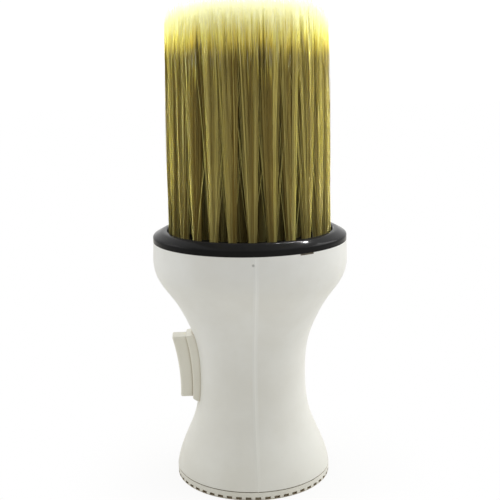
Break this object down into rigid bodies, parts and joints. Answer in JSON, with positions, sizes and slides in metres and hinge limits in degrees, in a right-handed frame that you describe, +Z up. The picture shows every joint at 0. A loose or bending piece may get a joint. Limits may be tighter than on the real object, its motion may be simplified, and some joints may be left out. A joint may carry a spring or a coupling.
{
  "type": "neck duster brush",
  "caption": "Round neck duster with a waisted powder-reservoir handle, a side button that opens a dispensing valve, and a screw filler cap as its foot.",
  "frame": {"origin": "centre of the flat base, on the axis of the round handle", "axes": "+Z up along the handle towards the bristle tips; the push button faces -X; the handle's parting line lies in the plane X = 0, so -Y is a front view with the button in profile on the left"},
  "size_m": [0.0644, 0.0648, 0.1575],
  "materials": {
    "shell_plastic": "satin",
    "cream_plastic": "satin",
    "black_plastic": "gloss",
    "natural_plastic": "satin",
    "bristle": "satin",
    "seal_rubber": "matte",
    "steel": "satin"
  },
  "bodies": {
    "handle": {"left_shell": "shell_plastic", "right_shell": "shell_plastic", "rim_ring": "black_plastic", "head_seal": "seal_rubber", "tuft_plate": "black_plastic", "tufts_outer_ring": "bristle", "tufts_third_ring": "bristle", "tufts_second_ring": "bristle", "tufts_inner_ring": "bristle", "tuft_anchors": "steel", "powder_nozzle": "natural_plastic", "nozzle_gasket": "seal_rubber", "nozzle_screws": "steel", "sieve_disc": "steel", "guide_bridge": "natural_plastic", "button_frame": "cream_plastic", "button_seal": "seal_rubber"},
    "button": {"push_button": "cream_plastic", "push_wedge": "natural_plastic", "wedge_screws": "steel"},
    "valve": {"valve_rod": "natural_plastic", "valve_plug": "seal_rubber", "valve_spring": "steel"},
    "cap_washer": {"cap_seal": "seal_rubber"},
    "cap": {"filler_cap": "shell_plastic"}
  },
  "joints": [
    {"name": "button_press", "type": "slide", "parent": "handle", "child": "button", "axis": [1, 0, 0], "range_m": [0, 0.0035]},
    {"name": "valve_slide", "type": "slide", "parent": "handle", "child": "valve", "axis": [0, 0, -1], "range_m": [0, 0.0035], "stiffness_N_per_m": 250, "springref_m": -0.004, "deforming": ["valve_spring"]},
    {"name": "cap_lift", "type": "slide", "parent": "handle", "child": "cap_washer", "axis": [0, 0, -1], "range_m": [0, 0.00605]},
    {"name": "cap_turn", "type": "hinge", "parent": "cap_washer", "child": "cap", "pos_m": [0, 0, 0], "axis": [0, 0, -1], "range_deg": [0, 540]}
  ],
  "couplings": [
    {"joint": "valve_slide", "follows": "button_press", "ratio": 1},
    {"joint": "cap_lift", "follows": "cap_turn", "m_per_rad": 0.00063662}
  ]
}
